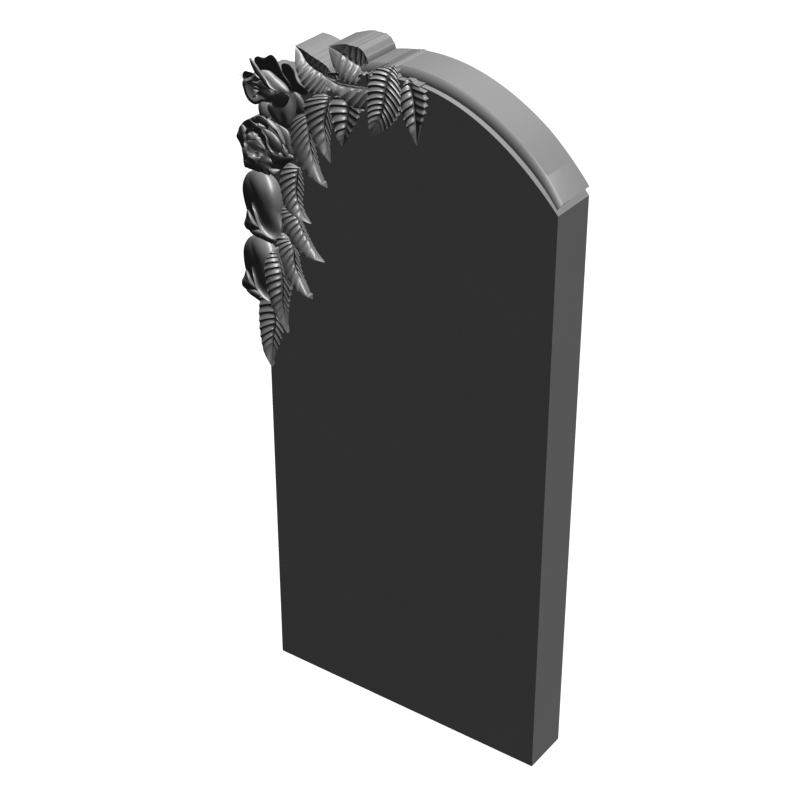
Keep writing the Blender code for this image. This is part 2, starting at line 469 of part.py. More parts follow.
ROSE_LOWER = [
    dict(name="lower_disc", rim=[(-297, 936), (-291, 950), (-283, 962), (-268, 970), (-248, 976), (-222, 974),
                                 (-202, 966), (-193, 948), (-193, 932), (-203, 914), (-225, 898), (-247, 888),
                                 (-266, 889), (-284, 891), (-287, 908), (-290, 922)],
         middle=(-245, 932), h=10, dome=9, back=BACK),
    dict(name="lower_left", rim=[(-298, 935), (-294, 945), (-292, 951), (-286, 957), (-276, 950), (-277, 935),
                                 (-279, 922), (-288, 919), (-293, 928)],
         middle=(-286, 937), h=15, dome=7, tilt=(0.1, 0.1), ruffle=(5, 1.2), root=0),
    dict(name="lower_skirt", rim=[(-288, 919), (-287, 905), (-285, 890), (-276, 891), (-263, 888), (-251, 887),
                                  (-239, 887), (-235, 899), (-231, 911), (-240, 922), (-262, 924), (-280, 922)],
         middle=(-259, 907), h=13, dome=5, ruffle=(11, 1.3), root=-3),
    dict(name="lower_tip", rim=[(-238, 899), (-219, 903), (-223, 896), (-231, 891), (-237, 893)],
         middle=(-230, 897), h=12, dome=2, tilt=(-0.3, -0.4), root=-3),
    dict(name="lower_right_low", rim=[(-240, 906), (-232, 910), (-217, 910), (-201, 918), (-192, 929), (-200, 933),
                                      (-212, 930), (-222, 930), (-235, 922)],
         middle=(-216, 920), h=14, dome=5, tilt=(0.1, 0.1), ruffle=(7, 1.1), root=-8),
    dict(name="lower_right", rim=[(-220, 972), (-204, 970), (-197, 963), (-195, 947), (-197, 932), (-205, 928),
                                  (-213, 940), (-216, 958)],
         middle=(-205, 950), h=15, dome=5, tilt=(-0.1, 0.0), lip=2, lip_to=180, root=-8),
    dict(name="lower_tuck", rim=[(-212, 945), (-206, 941), (-201, 933), (-206, 926), (-212, 928), (-214, 937)],
         middle=(-207, 935), h=19, dome=3, tilt=(-0.4, -0.2), ruffle=(4, 0.8), root=0),
    dict(name="lower_top", rim=[(-287, 953), (-283, 962), (-271, 970), (-256, 978), (-242, 978), (-236, 968),
                                (-244, 954), (-262, 952), (-278, 950)],
         middle=(-261, 964), h=16, dome=4, tilt=(0.1, 0.4), ruffle=(7, 1.4), root=0),
    dict(name="lower_top_wave", rim=[(-271, 967), (-265, 966), (-259, 965), (-251, 968), (-242, 963), (-243, 954),
                                     (-257, 955), (-267, 958)],
         middle=(-256, 961), h=21, dome=4, tilt=(-0.1, -0.1), ruffle=(6, 1.3), root=4),
    dict(name="lower_crescent", rim=[(-240, 977), (-228, 976), (-217, 969), (-210, 959), (-206, 945), (-213, 946),
                                     (-220, 957), (-229, 964), (-239, 969)],
         middle=(-221, 964), h=21, dome=3, tilt=(-0.45, -0.35), root=0),
    dict(name="lower_ring", rim=[(-284, 938), (-278, 951), (-266, 956), (-254, 955), (-246, 950), (-240, 941),
                                 (-238, 931), (-240, 921), (-250, 917), (-260, 912), (-271, 911), (-280, 914),
                                 (-283, 924)],
         middle=(-262, 934), h=19, dome=0, lip=5, ruffle=(9, 1.5), root=4),
    dict(name="lower_big", rim=[(-250, 959), (-237, 960), (-223, 955), (-214, 945), (-215, 934), (-223, 926),
                                (-234, 928), (-241, 937), (-242, 948), (-247, 954)],
         middle=(-229, 943), h=24, dome=5, lip=8, lip_to=-150, root=4),
    dict(name="lower_low", rim=[(-279, 909), (-267, 912), (-254, 915), (-255, 907), (-262, 899), (-272, 900),
                                (-278, 903)],
         middle=(-266, 907), h=22, dome=5, tilt=(-0.1, -0.1), ruffle=(5, 1.0), root=4),
    dict(name="lower_wave", rim=[(-279, 940), (-273, 947), (-265, 951), (-258, 950), (-252, 944), (-246, 937),
                                 (-243, 929), (-250, 926), (-258, 932), (-266, 937), (-276, 935)],
         middle=(-262, 941), h=24, dome=3, tilt=(-0.25, -0.25), ruffle=(7, 1.4), root=8),
    dict(name="lower_heart", rim=[(-278, 932), (-270, 937), (-262, 940), (-255, 934), (-249, 928), (-258, 920),
                                  (-269, 919), (-276, 924)],
         middle=(-264, 930), h=25, dome=2, lip=3, lip_to=-110, root=10),
]

# ---------------------------------------------------------------- buds
BUD = [
    dict(name="body", rim=[(-262, 890), (-277, 884), (-287, 870), (-291, 854), (-289, 836), (-284, 819), (-277, 802),
                           (-262, 790), (-244, 785), (-228, 787), (-219, 802), (-216, 830), (-217, 860), (-226, 882),
                           (-243, 891)],
         middle=(-252, 842), h=22, dome=19, back=BACK),
    dict(name="under", rim=[(-281, 787), (-275, 782), (-262, 779), (-250, 777), (-240, 777), (-231, 783), (-234, 792),
                            (-254, 794), (-272, 793)],
         middle=(-255, 786), h=10, dome=6, back=BACK),
    dict(name="sepal", rim=[(-284, 820), (-287, 808), (-291, 797), (-289, 790), (-281, 787), (-269, 791), (-262, 797),
                            (-269, 808), (-277, 818)],
         middle=(-278, 801), h=17, dome=10, back=BACK),
    dict(name="front", rim=[(-266, 888), (-279, 872), (-277, 845), (-270, 818), (-262, 797), (-253, 789), (-243, 786),
                            (-231, 787), (-222, 798), (-218, 825), (-218, 852), (-225, 876), (-243, 890)],
         middle=(-248, 838), h=31, dome=15, lip=17, lip_to=-98, lip_width=1.3, root=0),
]
BUD_TURN = radians(-7.0)         # the lower bud, turned about the top of the upper
BUD_DROP = (0.0, -105.0)
BUD_TOP = (-272.0, 884.0)
BUD_SINK = 6.0                   # and this much less high


def lower_bud_point(p):
    dx, dy = p[0] - BUD_TOP[0], p[1] - BUD_TOP[1]
    return (BUD_TOP[0] + BUD_DROP[0] + cos(BUD_TURN) * dx - sin(BUD_TURN) * dy,
            BUD_TOP[1] + BUD_DROP[1] + sin(BUD_TURN) * dx + cos(BUD_TURN) * dy)


def lower_bud(piece):
    turned = dict(piece)
    turned["rim"] = [lower_bud_point(p) for p in piece["rim"]]
    turned["middle"] = lower_bud_point(piece["middle"])
    turned["h"] = piece["h"] - BUD_SINK
    return turned


# ---------------------------------------------------------------- assembly
slab = slab_solid()
slab.data.materials.append(stone())
carving = [band_solid()]
carving += [leaf_solid(**d) for d in LEAVES]
carving += [petal_solid(**d) for d in ROSE_UPPER + ROSE_LOWER]
for prefix, pieces in (("upper_bud_", BUD), ("lower_bud_", [lower_bud(d) for d in BUD])):
    for d in pieces:
        carving.append(petal_solid(**{**d, "name": prefix + d["name"]}))

bpy.ops.mesh.primitive_cube_add(size=1.0)
back_cutter = bpy.context.active_object
back_cutter.name = "back_cutter"
for collection in list(back_cutter.users_collection):
    collection.objects.unlink(back_cutter)
cutter_collection.objects.link(back_cutter)
back_cutter.scale = (0.9, 0.1, 1.4)
back_cutter.location = (0.0, (THICKNESS / 2) / 1000 + 0.05, 0.55)

for piece in carving:
    join = slab.modifiers.new("join " + piece.name, "BOOLEAN")
    join.operation = "UNION"
    join.solver = "MANIFOLD"
    join.object = piece
cut = slab.modifiers.new("flat back", "BOOLEAN")
cut.operation = "DIFFERENCE"
cut.solver = "MANIFOLD"
cut.object = back_cutter

for piece in carving + [back_cutter]:
    piece.hide_render = True
    piece.display_type = "WIRE"
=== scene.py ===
"""Grave slab: an upright arched stone with a garland carved in relief.

The stone is one mesh: the slab, the band along its arch and the leaves, roses
and buds are made as closed solids, joined, and given one stone material.
"""
import json
from math import atan2, cos, exp, hypot, pi, radians, sin

import bmesh
import bpy
import numpy as np
from mathutils import Matrix, Vector

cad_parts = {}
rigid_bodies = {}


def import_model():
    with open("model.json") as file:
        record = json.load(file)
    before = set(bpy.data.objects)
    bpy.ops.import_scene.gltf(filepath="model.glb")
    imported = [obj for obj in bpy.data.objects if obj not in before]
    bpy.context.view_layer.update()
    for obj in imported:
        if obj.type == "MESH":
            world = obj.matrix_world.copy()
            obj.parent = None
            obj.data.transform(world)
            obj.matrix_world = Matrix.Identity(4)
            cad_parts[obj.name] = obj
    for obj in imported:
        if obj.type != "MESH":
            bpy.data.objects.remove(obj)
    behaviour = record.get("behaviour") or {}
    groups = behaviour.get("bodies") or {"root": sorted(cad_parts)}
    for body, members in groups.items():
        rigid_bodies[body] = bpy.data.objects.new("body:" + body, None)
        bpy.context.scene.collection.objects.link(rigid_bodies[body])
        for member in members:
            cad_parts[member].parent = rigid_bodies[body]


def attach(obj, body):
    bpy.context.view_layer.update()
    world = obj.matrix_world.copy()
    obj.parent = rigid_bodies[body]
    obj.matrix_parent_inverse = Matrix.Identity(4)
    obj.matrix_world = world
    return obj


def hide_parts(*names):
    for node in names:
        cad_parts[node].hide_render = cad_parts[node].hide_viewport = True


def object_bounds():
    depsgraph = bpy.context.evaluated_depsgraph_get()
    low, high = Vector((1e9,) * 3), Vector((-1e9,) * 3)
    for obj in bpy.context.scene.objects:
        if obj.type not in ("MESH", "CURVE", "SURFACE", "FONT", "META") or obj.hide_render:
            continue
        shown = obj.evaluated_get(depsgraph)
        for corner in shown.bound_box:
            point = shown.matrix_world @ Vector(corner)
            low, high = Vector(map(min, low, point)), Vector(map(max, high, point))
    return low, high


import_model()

cad_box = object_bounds()

# ---------------------------------------------------------------- slab (mm)
WIDTH = 500.0
THICKNESS = 80.0
SHOULDER = 959.3        # height where the arch springs from the sides
RISE = 132.04           # rise of the arch over the shoulder
ARCH_P = 2.0134         # arch: z = SHOULDER + RISE * (1 - t**ARCH_P)**ARCH_Q
ARCH_Q = 0.9767

# ---------------------------------------------------------------- arch band
BAND_HEIGHT = 14.0      # stands this far off the arch
BAND_END = 8.6          # height of the band at its two ends
BAND_SETBACK = 9.4      # the arch's own top shows this far behind the face
BAND_ARC = 51.0         # the rounded front turns this far, to a crisp upper edge
BAND_RUN_ON = 1.5       # how far its foot runs on beyond its right end
BAND_STOP = 243.6       # half span of the band

# ---------------------------------------------------------------- carving
BACK = 52.0             # carving and slab are cut off flat at the back
FAN_U, FAN_V, FAN_D = 1389.07, 2059.46, 1966.6   # where the carving fans from

FACE = -THICKNESS / 2

ARCH_STEPS = 80
BAND_FACETS = 9
EDGE_ROLL = 0.7         # how far the outermost strip of a petal rolls back
PLEAT_LOW = 0.10        # where in a rib's length its valley is
RIB_SHARE = 1.0         # every rib is cut
TIP_SLOPE = 0.70        # how steeply a leaf's edges stand up near its tip
BAND_CREST = 6.6        # depth of the band's rounded front
LEAF_ROWS = (0.02, 0.10, 0.26, 0.42, 0.56, 0.68, 0.78, 0.85, 0.93)
LEAF_SIDE = (0.0, 0.07, 0.18, 0.32, 0.46, 0.60, 0.72, 0.82, 0.90, 0.96, 1.0)
PETAL_RINGS = (0.12, 0.26, 0.40, 0.52, 0.63, 0.72, 0.80, 0.87, 0.92, 0.96, 0.985, 1.0)
PETAL_POINTS = 76

slab_collection = bpy.data.collections.new("carved_stone")
bpy.context.scene.collection.children.link(slab_collection)
cutter_collection = bpy.data.collections.new("solids")
bpy.context.scene.collection.children.link(cutter_collection)


SHARP = 36.0            # faces that meet at more than this angle meet in a sharp edge

# name, direction it comes from, strength, size in degrees, casts shadows
SUNS = [("key", (0.483, -0.129, 0.866), 1.45, 4.0, False),
        ("rim", (0.42, 0.129, 0.90), 0.70, 4.0, False),
        ("fill", (0.527, -0.304, 0.793), 0.34, 4.0, False),
        ("top", (0.0, 0.20, 0.98), 1.85, 10.0, False),
        ("shade", (0.1, 0.15, 0.98), 0.40, 25.0, True)]
WORLD = 0.02



def lift(u, v, h):
    """Point of the carving that is drawn at (u, v) and stands h off the face."""
    k = h / FAN_D
    return (u + (FAN_U - u) * k, FACE - h, v + (FAN_V - v) * k)


def arch(x):
    t = min(1.0, abs(x) / (WIDTH / 2))
    return SHOULDER + RISE * (1.0 - t ** ARCH_P) ** ARCH_Q


def arch_stations(half_span):
    """x of the facets' corners, closer together where the arch falls off."""
    return [half_span * sin(pi / 2 * i / ARCH_STEPS) for i in range(-ARCH_STEPS, ARCH_STEPS + 1)]


def spline(points, t):
    """Uniform Catmull-Rom curve through the points, t from 0 to 1."""
    p = [np.array(q, float) for q in points]
    p = [2 * p[0] - p[1]] + p + [2 * p[-1] - p[-2]]
    n = len(p) - 3
    i = min(int(t * n), n - 1)
    f = t * n - i
    a, b, c, d = p[i:i + 4]
    return 0.5 * (2 * b + (c - a) * f + (2 * a - 5 * b + 4 * c - d) * f * f + (3 * b - a - 3 * c + d) * f ** 3)


def ring(points, steps):
    """Closed Catmull-Rom curve through the points."""
    p = np.array(points, float)
    n = len(p)
    out = []
    for i in range(n):
        a, b, c, d = p[i - 1], p[i], p[(i + 1) % n], p[(i + 2) % n]
        for k in range(steps):
            f = k / steps
            out.append(0.5 * (2 * b + (c - a) * f + (2 * a - 5 * b + 4 * c - d) * f * f
                              + (3 * b - a - 3 * c + d) * f ** 3))
    return np.array(out)


def along(values, s):
    """Value at s of a run of values spaced evenly from 0 to 1, eased between."""
    x = min(max(s, 0.0), 1.0) * (len(values) - 1)
    i = min(int(x), len(values) - 2)
    f = x - i
    return values[i] + (values[i + 1] - values[i]) * f


def pleat_shape(f, fall):
    """One rib's section, f from 0 to 1 towards the tip: rises ever faster, drops."""
    f = (f - PLEAT_LOW) % 1.0
    up = 1.0 - fall
    if f < up:
        return -1.0 + 2.0 * (f / up) ** (2.0 - fall)
    return cos(pi * (f - up) / fall)


def leaf_solid(name, rib, left, right, height, edge, ribs, pleat=2.6, tooth=0.07, crest=(0.0, 0.0),
               groove=0.8, bend=0.1, tip=0.3, fall=0.36, fan=(1.35, 1.0, 1.0), steep=2.0, calm_rim=(0.55, 0.6),
               curl=1.0, back=None):
    """Pleated leaf with a serrated edge.

    rib: points of the midrib from stalk to tip; left, right: its two edges,
    point by point where the ribs meet them; height: of the midrib, from stalk
    to tip; edge: of the left and of the right edge, the same way; crest: how
    high each half stands beside the midrib; bend: how far the ribs curve;
    tip: the pleats die out within this share of the length; fall: part of a rib that falls; fan: how the
    ribs crowd towards the stalk on the midrib and on both edges; steep: how
    fast the halves rise beside the midrib; calm_rim: how far the pleats die
    out at the edge; curl: how far the tip comes forward. back: y where the
    leaf ends.
    """
    ribs = max(3, round(ribs * RIB_SHARE))
    rows = [0.0]
    for k in range(ribs):
        rows += [(k + f) / ribs for f in LEAF_ROWS]
    rows = [s for s in rows if s < 0.993]
    grid = np.linspace(0.0, 0.98, 50)
    widest = [max(np.hypot(*(spline(line, s) - spline(rib, s))) for s in grid) for line in (left, right)]
    side = [-t for t in reversed(LEAF_SIDE[1:])] + list(LEAF_SIDE)
    verts, faces = [], []
    for s in rows:
        s_mid, s_ends = s ** fan[0], (s ** fan[1], s ** fan[2])
        p = spline(rib, s_mid)
        q = spline(rib, min(1.0, s_mid + 0.01)) - spline(rib, max(0.0, s_mid - 0.01))
        q /= np.hypot(*q)
        ends = [spline(line, along_edge) for line, along_edge in zip((left, right), s_ends)]
        wave = pleat_shape(s * ribs, fall)
        calm = min(1.0, max(0.0, 2.0 * (1.0 - s) / tip - 1.0))
        mid = along(height, s_mid)
        forward = curl * max(0.0, (s - 0.72) / 0.28) ** 1.6
        for t in side:
            a, half = abs(t), 0 if t < 0 else 1
            reach = ends[half] - p
            fade = min(1.0, np.hypot(*reach) / widest[half] * 2.2)
            a_out = a * (1 - tooth * calm * (1 - 0.5 * calm_rim[half]) * (0.5 - 0.5 * wave) * a ** 3)
            out = along(edge[half], s_ends[half])
            rise = min(out - mid, TIP_SLOPE * np.hypot(*reach))
            h = mid + rise * (1 - (1 - a) ** (1 + (steep - 1) * min(1.0, (1 - s) / 0.4)))
            h += crest[half] * min(1.0, a / 0.2) * (1 - a) ** 0.7 * fade
            h -= groove * exp(-(a / 0.09) ** 2) * fade
            lift_up = min(1.0, a * 5.0) * (1 - calm_rim[half] * a ** 1.3)
            lift_up += (1 - calm_rim[half]) ** 0.5 * max(0.0, (a - 0.84) / 0.16) ** 2
            h += pleat * min(1.0, widest[half] / 26) * wave * lift_up * fade * calm * 0.5
            at = p + reach * a_out + q * (bend * np.hypot(*reach) * (a * a - a))
            verts.append(lift(at[0], at[1], h + forward))
    m = len(side)
    end = spline(rib, 1.0)
    verts.append(lift(end[0], end[1], height[-1] + curl))
    last = len(verts) - 1
    for j in range(len(rows) - 1):
        for k in range(m - 1):
            a = j * m + k
            faces.append((a, a + 1, a + m + 1, a + m))
    for k in range(m - 1):
        a = (len(rows) - 1) * m + k
        faces.append((a, a + 1, last))
    rim = list(range(m)) + [j * m + m - 1 for j in range(1, len(rows))] + [last]
    rim += [j * m for j in reversed(range(1, len(rows)))]
    return close_back(name, verts, faces, rim, FACE + 14.0 if back is None else back)


def petal_solid(name, rim, middle, h, tilt=(0.0, 0.0), dome=6.0, lip=0.0, lip_to=None, lip_width=0.7,
                lip_in=6.0, ruffle=(0, 0.0), swell=(), roll=(0.8, 0.0), back=None, root=None):
    """Petal: a rounded plate inside a smooth rim.

    h: height at its middle; tilt: rise to the right and upwards; dome: fall
    from the middle to the rim; lip: how far the rim turns up, lip_to: the
    direction where it does, in degrees, and lip_width, lip_in: the less, the
    further it reaches to both sides and inwards; ruffle: waves around the rim and
    their height; swell: rounded swellings or hollows (u, v, wide, high, turn
    in degrees, height); roll: from where, and how far, the outer part rolls
    back. back: y where its straight sides end; root: height down to which the
    sides lean back instead.
    """
    edge = ring(rim, max(1, round(PETAL_POINTS / len(rim))))
    mid = np.array(middle, float)

    def height(q, r, turn):
        out = h + tilt[0] * (q[0] - mid[0]) + tilt[1] * (q[1] - mid[1]) - dome * r ** 2.4
        facing = 1.0 if lip_to is None else max(0.0, cos(turn - radians(lip_to))) ** lip_width
        out += lip * facing * r ** lip_in
        out += ruffle[1] * sin(ruffle[0] * turn) * r ** 4
        for su, sv, wide, high, angle, amount in swell:
            ct, st = cos(radians(angle)), sin(radians(angle))
            du, dv = q[0] - su, q[1] - sv
            x, z = (du * ct + dv * st) / wide, (dv * ct - du * st) / high
            out += amount * exp(-x * x - z * z)
        out -= roll[1] * max(0.0, (r - roll[0]) / (1 - roll[0])) ** 1.6
        return out - EDGE_ROLL * max(0.0, (r - 0.9) / 0.1) ** 2

    verts, faces = [lift(mid[0], mid[1], height(mid, 0.0, 0.0))], []
    n = len(edge)
    for r in PETAL_RINGS:
        for p in edge:
            turn = atan2(p[1] - mid[1], p[0] - mid[0])
            q = mid + (p - mid) * r * (1 + 0.012 * ruffle[1] * cos(ruffle[0] * turn) * r ** 4)
            verts.append(lift(q[0], q[1], height(q, r, turn)))
    for k in range(n):
        faces.append((0, 1 + k, 1 + (k + 1) % n))
    for j in range(len(PETAL_RINGS) - 1):
        for k in range(n):
            a, b = 1 + j * n + k, 1 + j * n + (k + 1) % n
            faces.append((a, a + n, b + n, b))
    first = 1 + (len(PETAL_RINGS) - 1) * n
    outer = list(range(first, first + n))
    if root is None:
        return close_back(name, verts, faces, outer, FACE + 14.0 if back is None else back)
    base = len(verts)
    for k in range(n):
        verts.append(lift(edge[k][0], edge[k][1], root - stagger() / 4))
    for k in range(n):
        faces.append((first + k, base + k, base + (k + 1) % n, first + (k + 1) % n))
    faces.append(tuple(range(base, base + n)))
    return make(name, verts, faces, cutter_collection)


def stagger():
    """Small extra depth, so that no two pieces end in the same plane."""
    return 0.31 * len(cutter_collection.objects)


def close_back(name, verts, faces, rim, back):
    """Straight sides from the rim to the plane y = back, and a flat back."""
    base = len(verts)
    back += stagger()
    for i in rim:
        verts.append((verts[i][0], back, verts[i][2]))
    n = len(rim)
    for k in range(n):
        faces.append((rim[k], rim[(k + 1) % n], base + (k + 1) % n, base + k))
    faces.append(tuple(range(base, base + n)))
    return make(name, verts, faces, cutter_collection)


def make(name, verts, faces, collection):
    """Mesh object in metres from millimetre points, its faces turned outwards."""
    mesh = bpy.data.meshes.new(name)
    mesh.from_pydata([(x / 1000, y / 1000, z / 1000) for x, y, z in verts], [], faces)
    bm = bmesh.new()
    bm.from_mesh(mesh)
    bmesh.ops.triangulate(bm, faces=bm.faces)
    bmesh.ops.recalc_face_normals(bm, faces=bm.faces)
    bm.to_mesh(mesh)
    bm.free()
    ob = bpy.data.objects.new(name, mesh)
    collection.objects.link(ob)
    return ob


def slab_solid():
    """Flat outline of the slab, drawn out to its thickness."""
    half = WIDTH / 2
    outline = [(-half, 0.0), (half, 0.0)] + [(x, arch(x)) for x in reversed(arch_stations(half))]
    bm = bmesh.new()
    ring_verts = [bm.verts.new((x / 1000, FACE / 1000, z / 1000)) for x, z in outline]
    face = bm.faces.new(ring_verts)
    drawn = bmesh.ops.extrude_face_region(bm, geom=[face])
    moved = [g for g in drawn["geom"] if isinstance(g, bmesh.types.BMVert)]
    bmesh.ops.translate(bm, verts=moved, vec=(0, (BACK - 4 - FACE) / 1000, 0))
    bmesh.ops.recalc_face_normals(bm, faces=bm.faces)
    mesh = bpy.data.meshes.new("grave_slab")
    bm.to_mesh(mesh)
    bm.free()
    ob = bpy.data.objects.new("grave_slab", mesh)
    slab_collection.objects.link(ob)
    return ob


def band_height(x):
    """Full over the arch, falling towards the ends."""
    t = max(0.0, (abs(x) - 172.0) / (BAND_STOP - 172.0))
    return BAND_HEIGHT + (BAND_END - BAND_HEIGHT) * t ** 1.25


def band_solid():
    """The band's section swept along the arch, square to it."""
    verts, faces = [], []
    stations = arch_stations(BAND_STOP)
    end = radians(BAND_ARC)
    crest = [(BAND_CREST * (1 - cos(a)) / (1 - cos(end)), sin(a) / sin(end))
             for a in np.linspace(0, end, BAND_FACETS + 1)[1:]]
    for x in stations:
        x0, x1 = max(-WIDTH / 2, x - 0.01), min(WIDTH / 2, x + 0.01)
        dx, dz = x1 - x0, arch(x1) - arch(x0)
        n = hypot(dx, dz)
        nx, nz = -dz / n, dx / n
        top = band_height(x)
        front = FACE + BAND_SETBACK - 4.0 * max(0.0, (abs(x) - 200.0) / (BAND_STOP - 200.0)) ** 2
        section = [(front, -9.0)]
        section += [(front + d, k * top) for d, k in crest]
        section += [(BACK - 2, top), (BACK - 2, -9.0)]
        for i, (y, off) in enumerate(section):
            # at the right end the foot of the rounded front runs on towards the corner
            run_on = BAND_RUN_ON * (1.0 - max(0.0, off) / top) if x > BAND_STOP - 0.01 and i <= BAND_FACETS else 0.0
            verts.append((x + run_on + nx * off, y, arch(x + run_on) + nz * off))
    m = BAND_FACETS + 3
    for i in range(len(stations) - 1):
        for k in range(m):
            a, b = i * m + k, i * m + (k + 1) % m
            faces.append((a, b, b + m, a + m))
    faces.append(tuple(range(m)))
    faces.append(tuple(reversed(range(len(verts) - m, len(verts)))))
    return make("band", verts, faces, cutter_collection)


